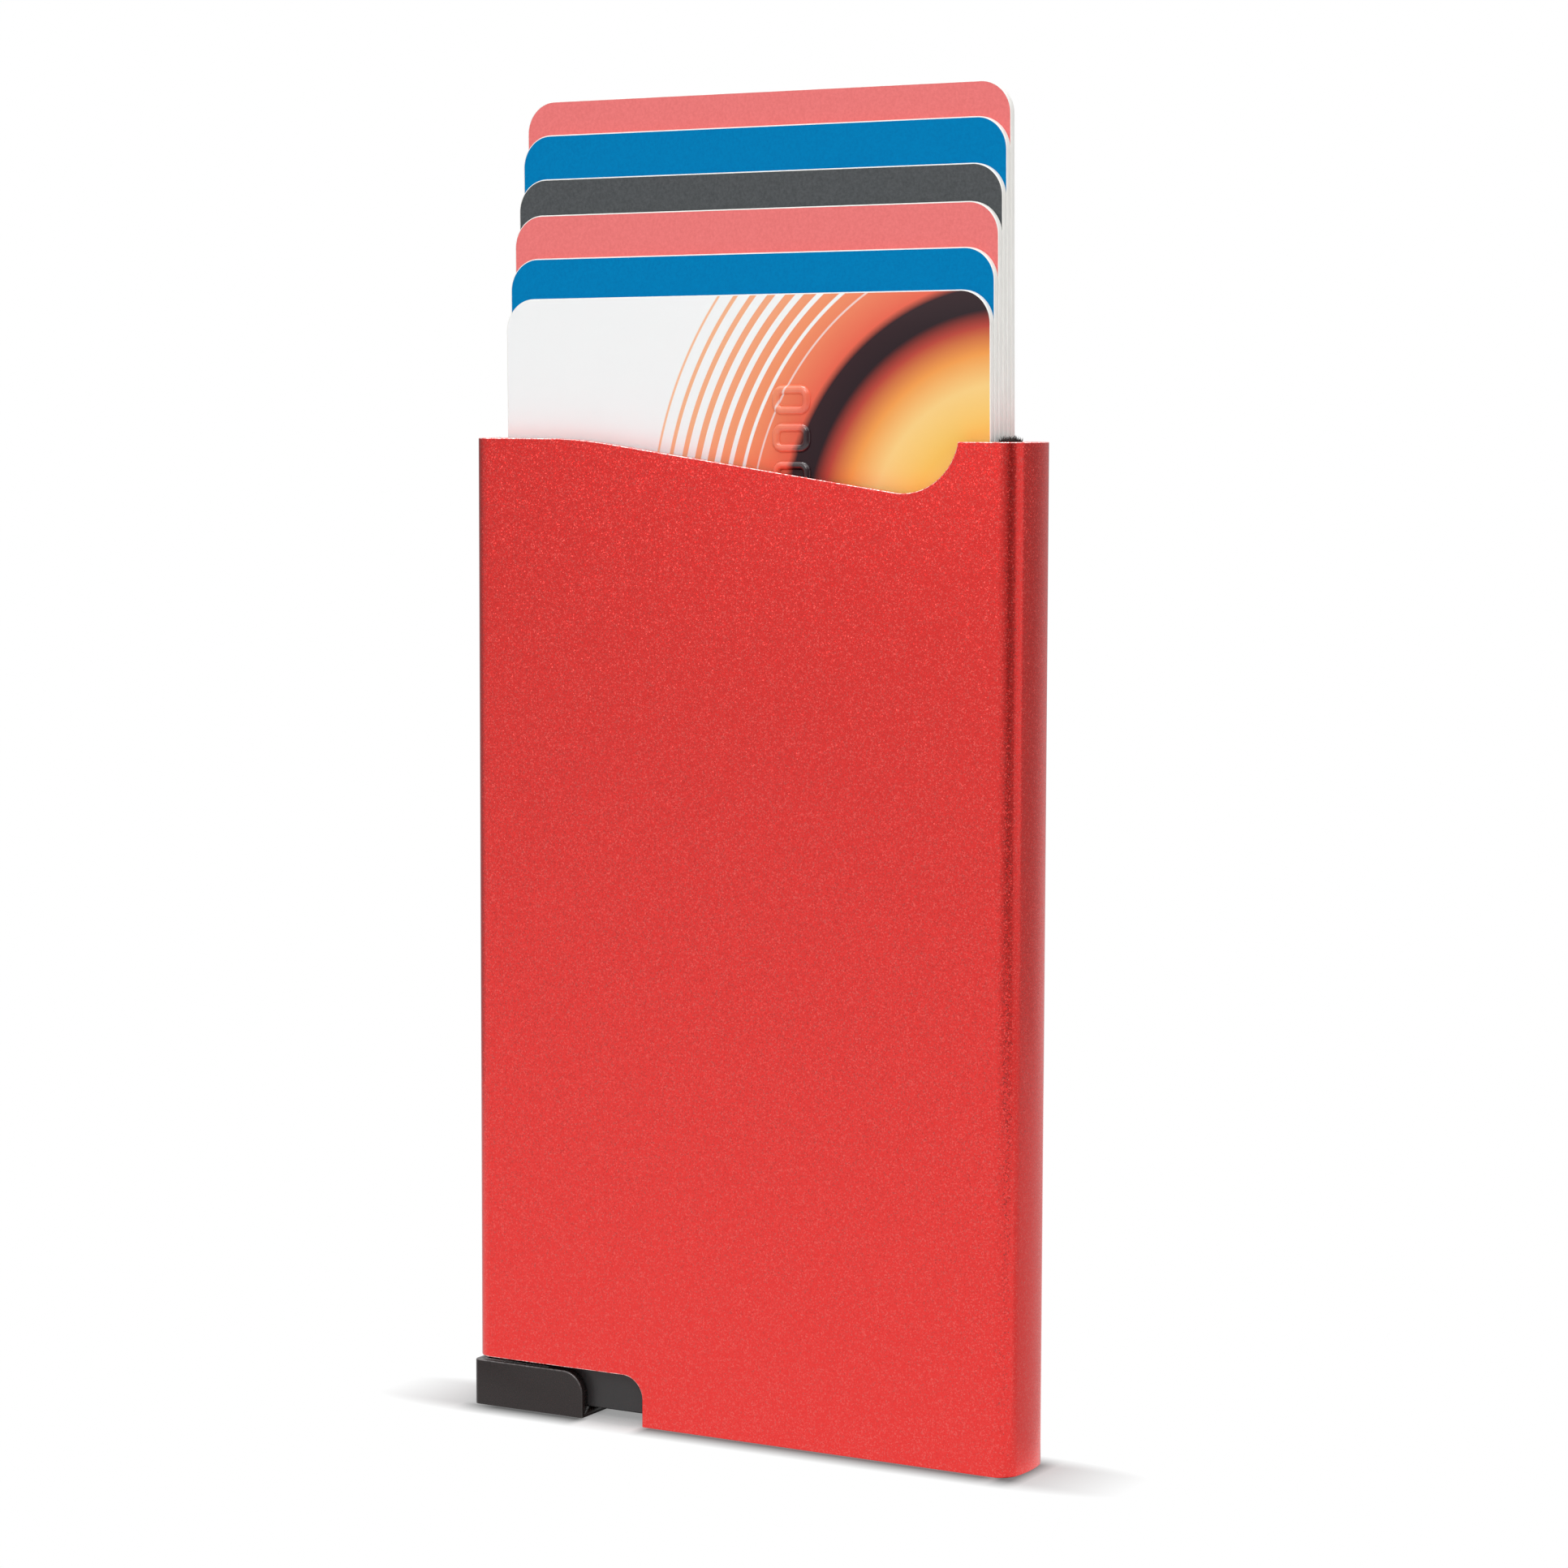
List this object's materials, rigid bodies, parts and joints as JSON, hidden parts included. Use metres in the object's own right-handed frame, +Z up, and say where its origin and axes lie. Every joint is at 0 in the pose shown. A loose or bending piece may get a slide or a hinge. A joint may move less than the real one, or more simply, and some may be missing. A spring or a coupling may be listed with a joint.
{
  "type": "card holder",
  "caption": "Flat aluminium sleeve for bank cards, with a sprung corner trigger that turns a stepped lever and fans the cards out of the top.",
  "frame": {"origin": "middle of the bottom rim, on the surface that the holder stands on", "axes": "+X to the right as the thumb cut faces the reader, +Y from the front face to the back, +Z up along the cards"},
  "size_m": [0.0614, 0.0082, 0.1324],
  "materials": {
    "red_aluminium": "satin",
    "black_felt": "matte",
    "grey_plastic": "satin",
    "steel": "satin",
    "black_plastic": "satin",
    "lever_plastic": "satin",
    "printed_card": "satin",
    "blue_card": "satin",
    "red_card": "satin",
    "grey_card": "satin"
  },
  "bodies": {
    "case": {"case_sleeve": "red_aluminium", "felt_strip_left": "black_felt", "felt_strip_right": "black_felt", "base_frame": "grey_plastic", "pivot_pin": "steel", "return_spring": "steel"},
    "trigger": {"trigger_slider": "black_plastic"},
    "lever": {"ejector_lever": "lever_plastic"},
    "card_1": {"card_1": "printed_card"},
    "card_2": {"card_2": "blue_card"},
    "card_3": {"card_3": "red_card"},
    "card_4": {"card_4": "grey_card"},
    "card_5": {"card_5": "blue_card"},
    "card_6": {"card_6": "red_card"}
  },
  "joints": [
    {"name": "trigger_slide", "type": "slide", "parent": "case", "child": "trigger", "axis": [1, 0, 0], "range_m": [0, 0.007], "stiffness_N_per_m": 300, "springref_m": -0.004, "deforming": ["return_spring"]},
    {"name": "lever_turn", "type": "hinge", "parent": "case", "child": "lever", "pos_m": [-0.01748, 0, 0.0078], "axis": [0, -1, 0], "range_deg": [0, 70]},
    {"name": "card_1_slide", "type": "slide", "parent": "case", "child": "card_1", "axis": [0, 0, 1], "range_m": [-0.0166, 0.0729]},
    {"name": "card_2_slide", "type": "slide", "parent": "case", "child": "card_2", "axis": [0, 0, 1], "range_m": [-0.0206, 0.0689]},
    {"name": "card_3_slide", "type": "slide", "parent": "case", "child": "card_3", "axis": [0, 0, 1], "range_m": [-0.0249, 0.0646]},
    {"name": "card_4_slide", "type": "slide", "parent": "case", "child": "card_4", "axis": [0, 0, 1], "range_m": [-0.0285, 0.061]},
    {"name": "card_5_slide", "type": "slide", "parent": "case", "child": "card_5", "axis": [0, 0, 1], "range_m": [-0.0329, 0.0566]},
    {"name": "card_6_slide", "type": "slide", "parent": "case", "child": "card_6", "axis": [0, 0, 1], "range_m": [-0.0363, 0.0532]}
  ],
  "couplings": [
    {"joint": "lever_turn", "follows": "trigger_slide", "rad_per_m": 174.49}
  ]
}
